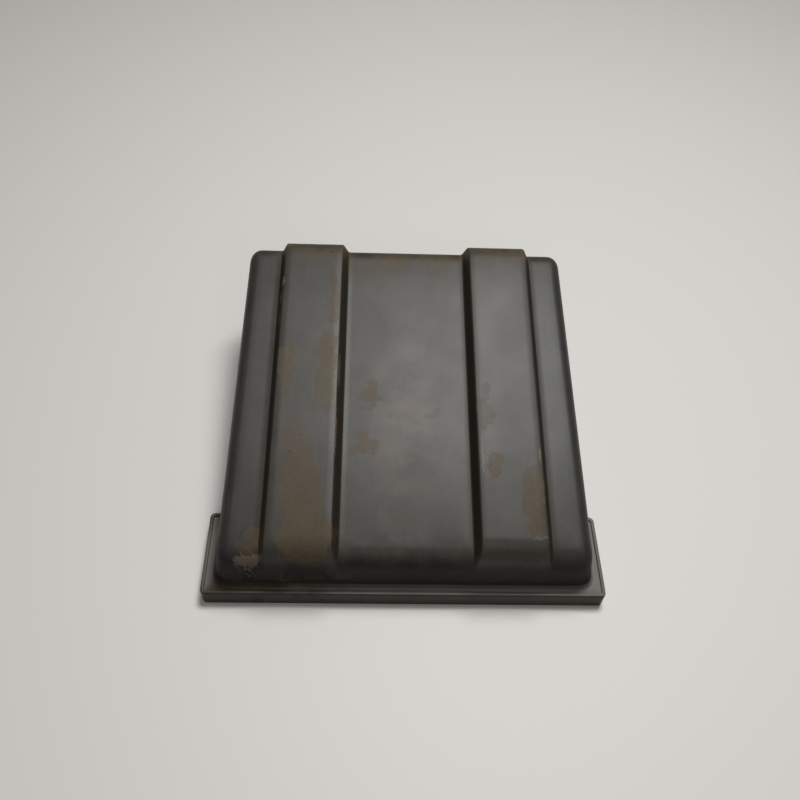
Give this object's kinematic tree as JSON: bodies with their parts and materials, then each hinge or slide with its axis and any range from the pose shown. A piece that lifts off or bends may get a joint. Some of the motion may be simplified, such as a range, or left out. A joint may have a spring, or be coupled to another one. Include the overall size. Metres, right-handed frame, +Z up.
{
  "type": "air filter housing",
  "caption": "Wedge-shaped plastic air filter housing: ribbed hood on a mouth flange, panel filter, floor pan, rear outlet spigot and wire clips.",
  "frame": {"origin": "middle of the footprint, on the plane that the mouth flange and the rear feet rest on", "axes": "+X across the hood, +Y from the mouth flange to the outlet spigot, +Z up"},
  "size_m": [0.3, 0.3004, 0.1184],
  "materials": {
    "hood_plastic": "matte dark grey moulded plastic, aged, with brown residue",
    "black_plastic": "satin black moulded plastic",
    "filter_frame": "moulded polyurethane frame",
    "filter_paper": "pleated filter paper, dusty",
    "zinc_steel": "zinc-plated steel, dulled",
    "spring_steel": "spring steel",
    "rubber": "black rubber"
  },
  "bodies": {
    "root": {"upper_shell": "hood_plastic", "flange_gasket": "rubber", "floor_pan": "black_plastic", "floor_gasket": "rubber", "floor_screw_1": "zinc_steel", "floor_screw_2": "zinc_steel", "floor_screw_3": "zinc_steel", "floor_screw_4": "zinc_steel", "floor_screw_5": "zinc_steel", "floor_screw_6": "zinc_steel", "rear_foot_left": "rubber", "rear_foot_right": "rubber", "outlet_spigot": "black_plastic", "outlet_seal": "rubber", "clamp_band": "spring_steel", "clamp_screw": "zinc_steel", "breather_nipple": "black_plastic", "drain_valve": "rubber", "clip_bracket_left": "zinc_steel", "clip_bracket_right": "zinc_steel"},
    "filter_element": {"filter_frame": "filter_frame", "filter_seal": "rubber", "filter_media": "filter_paper", "filter_mesh": "zinc_steel"},
    "clip_left": {"wire_clip_left": "spring_steel"},
    "clip_right": {"wire_clip_right": "spring_steel"}
  },
  "joints": [
    {"name": "filter_slide", "type": "slide", "parent": "root", "child": "filter_element", "axis": [0, 0, -1], "range_m": [0, 0.045]},
    {"name": "clip_left_hinge", "type": "hinge", "parent": "root", "child": "clip_left", "pos_m": [-0.092, -0.07417, 0.0095], "axis": [-1, 0, 0], "range_deg": [-20, 90]},
    {"name": "clip_right_hinge", "type": "hinge", "parent": "root", "child": "clip_right", "pos_m": [0.092, -0.07417, 0.0095], "axis": [-1, 0, 0], "range_deg": [-20, 90]}
  ]
}
